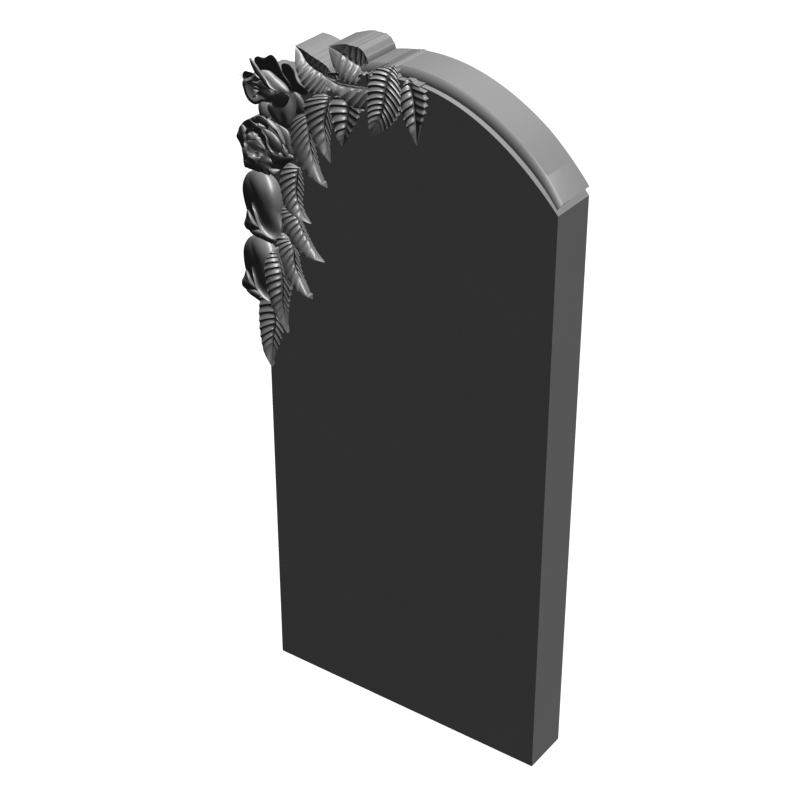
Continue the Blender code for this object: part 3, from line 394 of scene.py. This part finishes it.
# ---------------------------------------------------------------- leaves
# midrib from stalk to tip, its two edges, heights of the midrib and of both edges
LEAVES = [
    dict(name="leaf_top_right",
         rib=[(10, 1096), (14, 1080), (18, 1063), (20, 1045), (22, 1025), (23, 1002)],
         left=[(4, 1093), (-4, 1073), (-4, 1052), (2, 1034), (10, 1021), (23, 1002)],
         right=[(17, 1093), (34, 1083), (36, 1066), (33, 1049), (28, 1029), (23, 1002)],
         height=(-4, 0, 1, 1, 1, 0), edge=((2, 9, 10, 9, 9, 9), (2, 6, 7, 6, 4, 1)), ribs=8, pleat=4.6,
         fan=(1.2, 1, 1), tip=0.34, calm_rim=(0.2, 0.4)),
    dict(name="leaf_top_middle",
         rib=[(-14, 1109), (-23, 1094), (-29, 1072), (-33, 1049), (-39, 1028), (-56, 995)],
         left=[(-21, 1108), (-45, 1097), (-59, 1071), (-60, 1042), (-59, 1019), (-56, 995)],
         right=[(-11, 1107), (-6, 1083), (-4, 1056), (-14, 1030), (-31, 1011), (-56, 995)],
         height=(-6, -1, 2, 3, 1, 5), edge=((-5, 3, 9, 10, 12, 12), (-5, 1, 7, 8, 5, 4)), ribs=14, pleat=3.0,
         fan=(1.1, 1, 1), steep=1.3, fall=0.42, bend=0.3, tip=0.24, back=BACK, calm_rim=(0.0, 0.7)),
    dict(name="leaf_top_upper",
         rib=[(-60, 1088), (-70, 1094), (-84, 1098), (-99, 1104), (-111, 1109), (-126, 1112)],
         left=[(-63, 1082), (-78, 1068), (-94, 1065), (-107, 1071), (-118, 1085), (-126, 1112)],
         right=[(-57, 1094), (-59, 1109), (-70, 1121), (-84, 1122), (-99, 1121), (-126, 1112)],
         height=(-13, -12.5, -12, -12, -13, -14), edge=((1, 5, 6, 3, -4, -13), (-14, -14, -14, -14, -14, -15)),
         ribs=8, pleat=4.4, fan=(1.5, 1, 1), calm_rim=(0.75, 1), back=BACK, curl=0),
    dict(name="leaf_top_lower",
         rib=[(-39, 1066), (-60, 1064), (-82, 1061), (-106, 1059), (-121, 1062), (-134, 1066)],
         left=[(-39, 1041), (-62, 1034), (-84, 1031), (-103, 1039), (-122, 1049), (-134, 1066)],
         right=[(-39, 1069), (-60, 1067), (-84, 1064), (-106, 1062), (-120, 1064), (-134, 1066)],
         height=(1, 1, 1, 1, 0, -3), edge=((3, 5, 9, 10, 8, -2), (1, 1, 1, 1, 0, -3)), ribs=9, pleat=4.4,
         fan=(1.9, 1, 1), calm_rim=(0.85, 0.6), curl=1),
    dict(name="leaf_shoulder",
         rib=[(-125, 1055), (-135, 1068), (-151, 1073), (-163, 1080), (-172, 1091), (-183, 1100)],
         left=[(-124, 1046), (-144, 1037), (-164, 1037), (-177, 1049), (-184, 1070), (-183, 1100)],
         right=[(-120, 1074), (-128, 1082), (-139, 1087), (-155, 1092), (-169, 1097), (-183, 1100)],
         height=(0, -4, -7, -10, -13, -16), edge=((9, 11, 11, 8, 1, -15), (-3, -4, -6, -9, -12, -15)),
         ribs=10, pleat=3.8, fan=(1.7, 1, 1.5), calm_rim=(0.6, 1), back=BACK, curl=0),
    dict(name="leaf_inner_1",
         rib=[(-125, 1039), (-131, 1018), (-135, 997), (-133, 978), (-130, 959), (-126, 938)],
         left=[(-147, 1037), (-171, 1018), (-169, 996), (-163, 974), (-147, 954), (-126, 938)],
         right=[(-124, 1036), (-122, 1014), (-122, 996), (-125, 978), (-126, 962), (-126, 938)],
         height=(0, 2, 2, 2, 2, 1), edge=((7, 12, 13, 13, 12, 12), (1, 1, 1, 1, 1, 1)), ribs=10, pleat=3.0, crest=(0, 4), fall=0.45, fan=(1.9, 1, 1)),
    dict(name="leaf_inner_2",
         rib=[(-92, 1052), (-93, 1032), (-94, 1017), (-96, 1002), (-100, 987), (-104, 968)],
         left=[(-106, 1049), (-124, 1031), (-124, 1014), (-118, 995), (-114, 980), (-104, 968)],
         right=[(-85, 1054), (-75, 1030), (-78, 1016), (-87, 999), (-95, 984), (-104, 968)],
         height=(0, 0, 0, 0, 0, 0), edge=((4, 8, 9, 9, 9, 9), (4, 5, 5, 4, 3, 1)), ribs=7, pleat=4.2, tip=0.3,
         fan=(1.2, 1, 1), calm_rim=(0.2, 0.5)),
    dict(name="leaf_side_1",
         rib=[(-167, 1002), (-164, 980), (-162, 961), (-157, 940), (-148, 922), (-133, 897)],
         left=[(-190, 991), (-196, 969), (-196, 944), (-184, 921), (-161, 904), (-133, 897)],
         right=[(-164, 998), (-157, 972), (-152, 953), (-148, 937), (-144, 921), (-133, 897)],
         height=(2, 2, 2, 2, 2, 1), edge=((7, 12, 14, 14, 13, 12), (1, 1, 1, 1, 1, 1)), ribs=10, pleat=2.8, crest=(0, 4),
         fan=(1.9, 1, 1), fall=0.45),
    dict(name="leaf_side_2",
         rib=[(-184, 915), (-188, 891), (-189, 872), (-184, 855), (-177, 842), (-164, 831)],
         left=[(-207, 915), (-219, 891), (-218, 864), (-210, 842), (-192, 834), (-164, 831)],
         right=[(-180, 914), (-176, 896), (-176, 878), (-178, 862), (-174, 846), (-164, 831)],
         height=(2, 2, 2, 2, 2, 1), edge=((7, 12, 14, 14, 13, 12), (1, 1, 1, 1, 1, 1)), ribs=10, pleat=3.0, crest=(0, 4),
         fan=(1.8, 1, 1), fall=0.42),
    dict(name="leaf_side_3",
         rib=[(-194, 845), (-185, 827), (-177, 811), (-167, 799), (-156, 787), (-141, 775)],
         left=[(-216, 845), (-221, 827), (-212, 805), (-197, 784), (-172, 774), (-141, 775)],
         right=[(-187, 843), (-178, 827), (-170, 812), (-162, 799), (-153, 787), (-141, 775)],
         height=(2, 2, 2, 2, 2, 1), edge=((6, 11, 13, 13, 12, 12), (1, 1, 1, 1, 1, 1)), ribs=11, pleat=2.6, crest=(0, 3),
         fan=(2.0, 1, 1), fall=0.45),
    dict(name="leaf_side_4",
         rib=[(-205, 795), (-198, 781), (-197, 760), (-192, 745), (-181, 730), (-165, 706)],
         left=[(-224, 798), (-231, 774), (-228, 748), (-211, 723), (-190, 710), (-165, 706)],
         right=[(-200, 794), (-189, 778), (-186, 760), (-182, 744), (-175, 729), (-165, 706)],
         height=(2, 2, 2, 2, 2, 1), edge=((7, 12, 14, 14, 13, 12), (1, 1, 1, 1, 1, 1)), ribs=10, pleat=2.8, crest=(0, 4),
         fan=(1.9, 1, 1), fall=0.45),
    dict(name="leaf_low_1",
         rib=[(-230, 766), (-222, 738), (-221, 711), (-222, 685), (-219, 662), (-215, 632)],
         left=[(-238, 768), (-254, 742), (-254, 712), (-248, 680), (-234, 654), (-215, 632)],
         right=[(-222, 766), (-210, 738), (-206, 714), (-211, 686), (-213, 662), (-215, 632)],
         height=(18, 18, 15, 10, 4, 5), edge=((26, 31, 31, 28, 21, 15), (8, 8, 6, 4, 2, 1)), ribs=13, pleat=3.6, crest=(0, 4),
         fan=(1.5, 1, 1), tip=0.4, calm_rim=(0.5, 0.6)),
    dict(name="leaf_low_2",
         rib=[(-247, 692), (-239, 661), (-239, 641), (-243, 620), (-245, 598), (-249, 561)],
         left=[(-263, 688), (-270, 660), (-271, 633), (-269, 606), (-263, 582), (-249, 561)],
         right=[(-238, 690), (-223, 660), (-222, 638), (-229, 614), (-238, 590), (-249, 561)],
         height=(5, 5, 5, 4, 2, 5), edge=((4, 6, 9, 11, 13, 12), (0.5, 0.5, 0.5, 0.5, 0.5, 0.5)), ribs=10,
         pleat=4.4, crest=(0, 3), fan=(1.3, 1, 1), tip=0.34, back=BACK, calm_rim=(0.3, 0.5), curl=2.5),
    dict(name="leaf_behind",
         rib=[(-50, 1070), (-68, 1072), (-88, 1070), (-108, 1073), (-120, 1071), (-134, 1068)],
         left=[(-50, 1060), (-70, 1060), (-88, 1059), (-104, 1059), (-118, 1061), (-134, 1068)],
         right=[(-50, 1088), (-66, 1086), (-84, 1078), (-104, 1078), (-120, 1075), (-134, 1068)],
         height=(-3, -3, -2, -2, -2, -3), edge=((-3, -3, -3, -3, -3, -4), (1, 1, 0, 0, -1, -4)), ribs=7, pleat=5.0,
         calm_rim=(0.0, 0.0), fan=(1, 1, 1), curl=0),
    dict(name="leaf_small",
         rib=[(-92, 1040), (-80, 1036), (-65, 1032)], left=[(-92, 1036), (-78, 1027), (-65, 1032)],
         right=[(-90, 1044), (-76, 1037), (-65, 1032)],
         height=(2, 2, 1), edge=((4, 5, 2), (1, 1, 1)), ribs=3, curl=0),
]

# ---------------------------------------------------------------- roses
ROSE_UPPER = [
    dict(name="upper_block", rim=[(-277, 1026), (-272, 1034), (-262, 1038), (-250, 1038), (-225, 1042), (-196, 1046),
                                  (-170, 1030), (-175, 1000), (-200, 985), (-240, 990), (-256, 1000), (-270, 1012)],
         middle=(-225, 1015), h=-2, dome=2, back=BACK - 1),
    dict(name="upper_inner_side", rim=[(-190, 1028), (-176, 1025), (-170, 1014), (-173, 1003), (-190, 1000)],
         middle=(-182, 1014), h=5, dome=3),
    dict(name="upper_behind", rim=[(-209, 1065), (-197, 1070), (-187, 1064), (-181, 1050), (-163, 1038), (-170, 1029),
                                   (-188, 1027), (-202, 1040)],
         middle=(-190, 1047), h=10, tilt=(0.3, 0.7), dome=4, root=-14),
    dict(name="upper_top", rim=[(-258, 1062), (-252, 1069), (-239, 1070), (-227, 1077), (-217, 1072), (-208, 1056),
                                (-195, 1042), (-190, 1031), (-206, 1034), (-228, 1042), (-250, 1048)],
         middle=(-226, 1055), h=16, tilt=(0.35, 0.85), dome=6,
         swell=[(-243, 1064, 8, 9, 0, 2), (-234, 1060, 6, 12, -15, -2), (-216, 1064, 8, 10, 30, 2)], root=-14),
    dict(name="upper_low", rim=[(-198, 1025), (-189, 1026), (-184, 1014), (-187, 996), (-199, 973), (-213, 974),
                                (-232, 985), (-236, 1000), (-215, 1010)],
         middle=(-208, 998), h=17, tilt=(-0.12, -0.15), dome=7, lip=5, lip_to=20, swell=[(-212, 985, 8, 14, 20, -3)], root=-8),
    dict(name="upper_low_left", rim=[(-251, 1001), (-236, 1004), (-228, 996), (-236, 979), (-249, 977), (-254, 988)],
         middle=(-243, 990), h=13, tilt=(0.0, -0.3), dome=4, root=-8),
    dict(name="upper_low_dark", rim=[(-229, 1009), (-222, 1020), (-208, 1025), (-196, 1022), (-203, 1006), (-218, 997),
                                     (-227, 999)],
         middle=(-214, 1010), h=21, tilt=(0.08, 0.25), dome=2, lip=3, lip_to=-120, root=0),
    dict(name="upper_cup", rim=[(-281, 1033), (-279, 1039), (-275, 1042), (-269, 1042), (-262, 1042), (-257, 1038),
                                (-262, 1033), (-270, 1030), (-279, 1028)],
         middle=(-270, 1036), h=16, tilt=(0.5, 1.0), dome=1, root=-6),
    dict(name="upper_core", rim=[(-279, 1028), (-282, 1021), (-280, 1012), (-277, 1004), (-271, 997), (-261, 994),
                                 (-253, 997), (-245, 1002), (-233, 1004), (-226, 1013), (-223, 1022), (-232, 1032),
                                 (-246, 1040), (-258, 1044), (-265, 1036), (-273, 1031)],
         middle=(-258, 1018), h=22, dome=-6, roll=(0.78, 10),
         swell=[(-254, 1011, 5, 4, 30, -4), (-236, 1016, 12, 9, 0, 3)], root=-4),
    dict(name="upper_fold", rim=[(-265, 1028), (-255, 1030), (-246, 1036), (-240, 1035), (-236, 1025), (-244, 1021),
                                 (-252, 1021), (-258, 1024)],
         middle=(-250, 1027), h=28, tilt=(0.02, 0.02), dome=1.5, roll=(0.75, 3), root=5),
    dict(name="upper_curl", rim=[(-261, 1021), (-256, 1023), (-251, 1022), (-253, 1018), (-258, 1018)],
         middle=(-256, 1020), h=25, tilt=(0.05, 0.0), dome=1.5, root=8),
    dict(name="upper_heart", rim=[(-262, 1016), (-255, 1018), (-251, 1017), (-255, 1013), (-257, 1009), (-258, 1006),
                                  (-264, 1004), (-263, 1009), (-261, 1013)],
         middle=(-258, 1012), h=25, tilt=(-0.25, -0.2), dome=1.5, root=8),
    dict(name="upper_front", rim=[(-247, 1048), (-231, 1052), (-217, 1046), (-201, 1037), (-196, 1027), (-210, 1023),
                                  (-229, 1026), (-239, 1036)],
         middle=(-221, 1037), h=26, tilt=(-0.25, -0.45), dome=4, lip=4, lip_to=-150, root=0),
    dict(name="upper_point", rim=[(-267, 1061), (-262, 1063), (-250, 1052), (-238, 1038), (-226, 1025), (-238, 1026),
                                  (-251, 1038), (-260, 1046)],
         middle=(-247, 1044), h=31, tilt=(-0.2, -0.2), dome=5, root=0),
]

ROSE_LOWER = [
    dict(name="lower_disc", rim=[(-297, 936), (-291, 950), (-283, 962), (-268, 970), (-248, 976), (-222, 974),
                                 (-202, 966), (-193, 948), (-193, 932), (-203, 914), (-225, 898), (-247, 888),
                                 (-266, 889), (-284, 891), (-287, 908), (-290, 922)],
         middle=(-245, 932), h=10, dome=9, back=BACK),
    dict(name="lower_left", rim=[(-298, 935), (-294, 945), (-292, 951), (-286, 957), (-276, 950), (-277, 935),
                                 (-279, 922), (-288, 919), (-293, 928)],
         middle=(-286, 937), h=15, dome=7, tilt=(0.1, 0.1), ruffle=(5, 1.2), root=0),
    dict(name="lower_skirt", rim=[(-288, 919), (-287, 905), (-285, 890), (-276, 891), (-263, 888), (-251, 887),
                                  (-239, 887), (-235, 899), (-231, 911), (-240, 922), (-262, 924), (-280, 922)],
         middle=(-259, 907), h=13, dome=5, ruffle=(11, 1.3), root=-3),
    dict(name="lower_tip", rim=[(-238, 899), (-219, 903), (-223, 896), (-231, 891), (-237, 893)],
         middle=(-230, 897), h=12, dome=2, tilt=(-0.3, -0.4), root=-3),
    dict(name="lower_right_low", rim=[(-240, 906), (-232, 910), (-217, 910), (-201, 918), (-192, 929), (-200, 933),
                                      (-212, 930), (-222, 930), (-235, 922)],
         middle=(-216, 920), h=14, dome=5, tilt=(0.1, 0.1), ruffle=(7, 1.1), root=-8),
    dict(name="lower_right", rim=[(-220, 972), (-204, 970), (-197, 963), (-195, 947), (-197, 932), (-205, 928),
                                  (-213, 940), (-216, 958)],
         middle=(-205, 950), h=15, dome=5, tilt=(-0.1, 0.0), lip=2, lip_to=180, root=-8),
    dict(name="lower_tuck", rim=[(-212, 945), (-206, 941), (-201, 933), (-206, 926), (-212, 928), (-214, 937)],
         middle=(-207, 935), h=19, dome=3, tilt=(-0.4, -0.2), ruffle=(4, 0.8), root=0),
    dict(name="lower_top", rim=[(-287, 953), (-283, 962), (-271, 970), (-256, 978), (-242, 978), (-236, 968),
                                (-244, 954), (-262, 952), (-278, 950)],
         middle=(-261, 964), h=16, dome=4, tilt=(0.1, 0.4), ruffle=(7, 1.4), root=0),
    dict(name="lower_top_wave", rim=[(-271, 967), (-265, 966), (-259, 965), (-251, 968), (-242, 963), (-243, 954),
                                     (-257, 955), (-267, 958)],
         middle=(-256, 961), h=21, dome=4, tilt=(-0.1, -0.1), ruffle=(6, 1.3), root=4),
    dict(name="lower_crescent", rim=[(-240, 977), (-228, 976), (-217, 969), (-210, 959), (-206, 945), (-213, 946),
                                     (-220, 957), (-229, 964), (-239, 969)],
         middle=(-221, 964), h=21, dome=3, tilt=(-0.45, -0.35), root=0),
    dict(name="lower_ring", rim=[(-284, 938), (-278, 951), (-266, 956), (-254, 955), (-246, 950), (-240, 941),
                                 (-238, 931), (-240, 921), (-250, 917), (-260, 912), (-271, 911), (-280, 914),
                                 (-283, 924)],
         middle=(-262, 934), h=19, dome=0, lip=5, ruffle=(9, 1.5), root=4),
    dict(name="lower_big", rim=[(-250, 959), (-237, 960), (-223, 955), (-214, 945), (-215, 934), (-223, 926),
                                (-234, 928), (-241, 937), (-242, 948), (-247, 954)],
         middle=(-229, 943), h=24, dome=5, lip=8, lip_to=-150, root=4),
    dict(name="lower_low", rim=[(-279, 909), (-267, 912), (-254, 915), (-255, 907), (-262, 899), (-272, 900),
                                (-278, 903)],
         middle=(-266, 907), h=22, dome=5, tilt=(-0.1, -0.1), ruffle=(5, 1.0), root=4),
    dict(name="lower_wave", rim=[(-279, 940), (-273, 947), (-265, 951), (-258, 950), (-252, 944), (-246, 937),
                                 (-243, 929), (-250, 926), (-258, 932), (-266, 937), (-276, 935)],
         middle=(-262, 941), h=24, dome=3, tilt=(-0.25, -0.25), ruffle=(7, 1.4), root=8),
    dict(name="lower_heart", rim=[(-278, 932), (-270, 937), (-262, 940), (-255, 934), (-249, 928), (-258, 920),
                                  (-269, 919), (-276, 924)],
         middle=(-264, 930), h=25, dome=2, lip=3, lip_to=-110, root=10),
]

# ---------------------------------------------------------------- buds
BUD = [
    dict(name="body", rim=[(-262, 890), (-277, 884), (-287, 870), (-291, 854), (-289, 836), (-284, 819), (-277, 802),
                           (-262, 790), (-244, 785), (-228, 787), (-219, 802), (-216, 830), (-217, 860), (-226, 882),
                           (-243, 891)],
         middle=(-252, 842), h=22, dome=19, back=BACK),
    dict(name="under", rim=[(-281, 787), (-275, 782), (-262, 779), (-250, 777), (-240, 777), (-231, 783), (-234, 792),
                            (-254, 794), (-272, 793)],
         middle=(-255, 786), h=10, dome=6, back=BACK),
    dict(name="sepal", rim=[(-284, 820), (-287, 808), (-291, 797), (-289, 790), (-281, 787), (-269, 791), (-262, 797),
                            (-269, 808), (-277, 818)],
         middle=(-278, 801), h=17, dome=10, back=BACK),
    dict(name="front", rim=[(-266, 888), (-279, 872), (-277, 845), (-270, 818), (-262, 797), (-253, 789), (-243, 786),
                            (-231, 787), (-222, 798), (-218, 825), (-218, 852), (-225, 876), (-243, 890)],
         middle=(-248, 838), h=28, dome=20, lip=25, lip_to=-104, lip_width=1, lip_in=5, root=0),
]
BUD_TURN = radians(-7.0)         # the lower bud, turned about the top of the upper
BUD_DROP = (0.0, -105.0)
BUD_TOP = (-272.0, 884.0)
BUD_SINK = 6.0                   # and this much less high


def lower_bud_point(p):
    dx, dy = p[0] - BUD_TOP[0], p[1] - BUD_TOP[1]
    return (BUD_TOP[0] + BUD_DROP[0] + cos(BUD_TURN) * dx - sin(BUD_TURN) * dy,
            BUD_TOP[1] + BUD_DROP[1] + sin(BUD_TURN) * dx + cos(BUD_TURN) * dy)


def lower_bud(piece):
    turned = dict(piece)
    turned["rim"] = [lower_bud_point(p) for p in piece["rim"]]
    turned["middle"] = lower_bud_point(piece["middle"])
    turned["h"] = piece["h"] - BUD_SINK
    if "lip" in piece:
        turned["lip"] = piece["lip"] - 3
    return turned


# ---------------------------------------------------------------- one solid
slab = slab_solid()
carving = [band_solid()]
carving += [leaf_solid(**d) for d in LEAVES]
carving += [petal_solid(**d) for d in ROSE_UPPER + ROSE_LOWER]
for prefix, pieces in (("upper_bud_", BUD), ("lower_bud_", [lower_bud(d) for d in BUD])):
    for d in pieces:
        carving.append(petal_solid(**{**d, "name": prefix + d["name"]}))

bpy.ops.mesh.primitive_cube_add(size=1.0)
back_cutter = bpy.context.active_object
back_cutter.name = "back_cutter"
back_cutter.scale = (0.9, 0.1, 1.4)
back_cutter.location = (0.0, (THICKNESS / 2) / 1000 + 0.05, 0.55)

for piece in carving:
    join = slab.modifiers.new("join " + piece.name, "BOOLEAN")
    join.operation = "UNION"
    join.solver = "MANIFOLD"
    join.object = piece
cut = slab.modifiers.new("flat back", "BOOLEAN")
cut.operation = "DIFFERENCE"
cut.solver = "MANIFOLD"
cut.object = back_cutter

depsgraph = bpy.context.evaluated_depsgraph_get()
mesh = bpy.data.meshes.new_from_object(slab.evaluated_get(depsgraph))
for piece in carving + [back_cutter, slab]:
    bpy.data.objects.remove(piece)
for collection in (slab_collection, cutter_collection):
    bpy.data.collections.remove(collection)

bm = bmesh.new()
bm.from_mesh(mesh)
bmesh.ops.remove_doubles(bm, verts=bm.verts, dist=2e-6)
bmesh.ops.dissolve_degenerate(bm, edges=bm.edges, dist=2e-6)
bm.verts.ensure_lookup_table()
for vert in bm.verts:           # a fraction of a millimetre at the outermost petals
    vert.co.x = max(vert.co.x, cad_box[0][0] + 1e-5)
    vert.co.y = max(vert.co.y, cad_box[0][1] + 1e-5)
    vert.co.z = min(vert.co.z, cad_box[1][2] - 1e-5)
for face in bm.faces:
    flat = [all(abs(v.co[i] - at) < 3e-4 for v in face.verts) and abs(face.normal[i]) > 0.9995
            for i, at in ((1, FACE / 1000), (1, THICKNESS / 2000), (0, -WIDTH / 2000), (0, WIDTH / 2000), (2, 0.0))]
    face.smooth = not any(flat)
for edge in bm.edges:
    edge.smooth = len(edge.link_faces) == 2 and edge.calc_face_angle(0.0) < radians(SHARP)
bm.to_mesh(mesh)
print("stone:", len(bm.faces), "faces,", sum(len(f.verts) - 2 for f in bm.faces), "triangles, open edges",
      sum(1 for e in bm.edges if len(e.link_faces) != 2))
bm.free()
mesh.name = "carved_stone"
carved_stone = bpy.data.objects.new("carved_stone", mesh)
bpy.context.scene.collection.objects.link(carved_stone)


# ---------------------------------------------------------------- stone
def stone():
    """Fine-grained dark grey stone, honed: speckle, soft mottling, paler edges, and painted shade that darkens its
    hollows.
    """
    m = bpy.data.materials.new("honed_stone")
    m.use_nodes = True
    nodes, links = m.node_tree.nodes, m.node_tree.links
    bsdf = nodes["Principled BSDF"]
    bsdf.inputs["Metallic"].default_value = 0.0
    bsdf.inputs["IOR"].default_value = 1.7
    bsdf.inputs["Specular IOR Level"].default_value = 1.0
    place = nodes.new("ShaderNodeTexCoord")

    def noise(scale, detail, rough):
        n = nodes.new("ShaderNodeTexNoise")
        n.inputs["Scale"].default_value = scale
        n.inputs["Detail"].default_value = detail
        n.inputs["Roughness"].default_value = rough
        links.new(place.outputs["Object"], n.inputs["Vector"])
        return n.outputs["Fac"]

    def ramp(value, stops):
        r = nodes.new("ShaderNodeValToRGB")
        r.color_ramp.elements[0].position = stops[0][0]
        r.color_ramp.elements[0].color = stops[0][1]
        r.color_ramp.elements[1].position = stops[-1][0]
        r.color_ramp.elements[1].color = stops[-1][1]
        for at, colour in stops[1:-1]:
            r.color_ramp.elements.new(at).color = colour
        links.new(value, r.inputs["Fac"])
        return r.outputs["Color"]

    def mix(kind, factor, a, b):
        x = nodes.new("ShaderNodeMix")
        x.data_type = "RGBA"
        x.blend_type = kind
        x.clamp_result = True
        if isinstance(factor, float):
            x.inputs[0].default_value = factor
        else:
            links.new(factor, x.inputs[0])
        links.new(a, x.inputs[6])
        if isinstance(b, tuple):
            x.inputs[7].default_value = b
        else:
            links.new(b, x.inputs[7])
        return x.outputs[2]

    grain = noise(900.0, 3.0, 0.6)
    flecks = nodes.new("ShaderNodeTexVoronoi")
    flecks.inputs["Scale"].default_value = 520.0
    links.new(place.outputs["Object"], flecks.inputs["Vector"])
    cloud = noise(7.0, 4.0, 0.55)
    base = ramp(grain, [(0.30, (0.227, 0.228, 0.230, 1)), (0.72, (0.275, 0.275, 0.273, 1))])
    base = mix("MULTIPLY", 1.0, base, ramp(flecks.outputs["Distance"],
               [(0.06, (0.90, 0.90, 0.91, 1)), (0.30, (1.0, 1.0, 1.0, 1))]))
    base = mix("MULTIPLY", 1.0, base, ramp(cloud, [(0.35, (0.965, 0.965, 0.97, 1)), (0.65, (1.0, 1.0, 0.995, 1))]))

    def closeness(distance, inside):
        n = nodes.new("ShaderNodeAmbientOcclusion")
        n.samples = 6
        n.inside = inside
        n.only_local = True
        n.inputs["Distance"].default_value = distance
        return n.outputs["AO"]

    worn = ramp(closeness(0.0018, True), [(0.45, (0.6, 0.6, 0.6, 1)), (0.85, (0, 0, 0, 1))])
    worn = mix("MULTIPLY", 1.0, worn, ramp(noise(60.0, 3.0, 0.5), [(0.35, (0.15, 0.15, 0.15, 1)), (0.6, (0.8, 0.8, 0.8, 1))]))
    base = mix("MIX", worn, base, (0.34, 0.34, 0.335, 1))
    # painted shade: the base colour turns darker, towards 0.16, in hollows and recesses where shade falls
    painted_hollow_shade = ramp(closeness(0.008, False), [(0.15, (0.5, 0.5, 0.5, 1)), (0.6, (0, 0, 0, 1))])
    base = mix("MIX", painted_hollow_shade, base, (0.16, 0.16, 0.158, 1))
    links.new(base, bsdf.inputs["Base Color"])

    links.new(ramp(grain, [(0.3, (0.50, 0.50, 0.50, 1)), (0.7, (0.42, 0.42, 0.42, 1))]), bsdf.inputs["Roughness"])

    fine = nodes.new("ShaderNodeBump")
    fine.inputs["Strength"].default_value = 0.12
    fine.inputs["Distance"].default_value = 0.0004
    links.new(grain, fine.inputs["Height"])
    wide = nodes.new("ShaderNodeBump")
    wide.inputs["Strength"].default_value = 0.10
    wide.inputs["Distance"].default_value = 0.001
    links.new(noise(120.0, 2.0, 0.5), wide.inputs["Height"])
    links.new(fine.outputs["Normal"], wide.inputs["Normal"])
    links.new(wide.outputs["Normal"], bsdf.inputs["Normal"])
    return m


carved_stone.data.materials.clear()
carved_stone.data.materials.append(stone())
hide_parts("grave_slab")
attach(carved_stone, "root")
carved_stone.visible_diffuse = False     # its own hollows stay dark, as in the photograph
carved_stone.visible_glossy = False

# ---------------------------------------------------------------- floor
bpy.ops.mesh.primitive_plane_add(size=60.0)
floor = bpy.context.active_object
floor.name = "studio_floor"
paper = bpy.data.materials.new("pale_floor")
paper.use_nodes = True
paper_shader = paper.node_tree.nodes["Principled BSDF"]
paper_shader.inputs["Base Color"].default_value = (0.86, 0.86, 0.86, 1)
paper_shader.inputs["Roughness"].default_value = 0.9
paper_shader.inputs["Specular IOR Level"].default_value = 0.1
floor.data.materials.append(paper)
floor.visible_diffuse = False
floor.visible_glossy = False

# ---------------------------------------------------------------- light
scene = bpy.context.scene


def sun(name, towards, strength, angle, shadow):
    """Sunlight coming from the given direction."""
    data = bpy.data.lights.new(name, "SUN")
    data.energy = strength
    data.angle = radians(angle)
    data.use_shadow = shadow
    ob = bpy.data.objects.new(name, data)
    ob.rotation_euler = Vector(towards).to_track_quat("Z", "Y").to_euler()
    scene.collection.objects.link(ob)
    return ob


for name, towards, strength, angle, shadow in SUNS:
    sun(name, towards, strength, angle, shadow)

world = bpy.data.worlds.new("studio")
world.use_nodes = True
scene.world = world
air = world.node_tree
air.nodes.clear()
out = air.nodes.new("ShaderNodeOutputWorld")
fill = air.nodes.new("ShaderNodeBackground")
fill.inputs["Color"].default_value = (1, 1, 1, 1)
fill.inputs["Strength"].default_value = WORLD
air.links.new(fill.outputs["Background"], out.inputs["Surface"])

# ---------------------------------------------------------------- camera
PITCH, YAW = 0.548390540, 0.616549747
forward = Vector((-sin(YAW) * cos(PITCH), cos(YAW) * cos(PITCH), -sin(PITCH)))
right = Vector((cos(YAW), sin(YAW), 0.0))
up = right.cross(forward)
camera_data = bpy.data.cameras.new("camera")
camera_data.sensor_width = 36.0
camera_data.lens = 85.80
camera_data.clip_end = 200.0
camera = bpy.data.objects.new("camera", camera_data)
camera.matrix_world = Matrix(((right.x, up.x, -forward.x, 1.389073),
                              (right.y, up.y, -forward.y, -2.006600),
                              (right.z, up.z, -forward.z, 2.059459),
                              (0.0, 0.0, 0.0, 1.0)))
scene.collection.objects.link(camera)
scene.camera = camera
scene.view_settings.view_transform = "Standard"
scene.view_settings.look = "None"
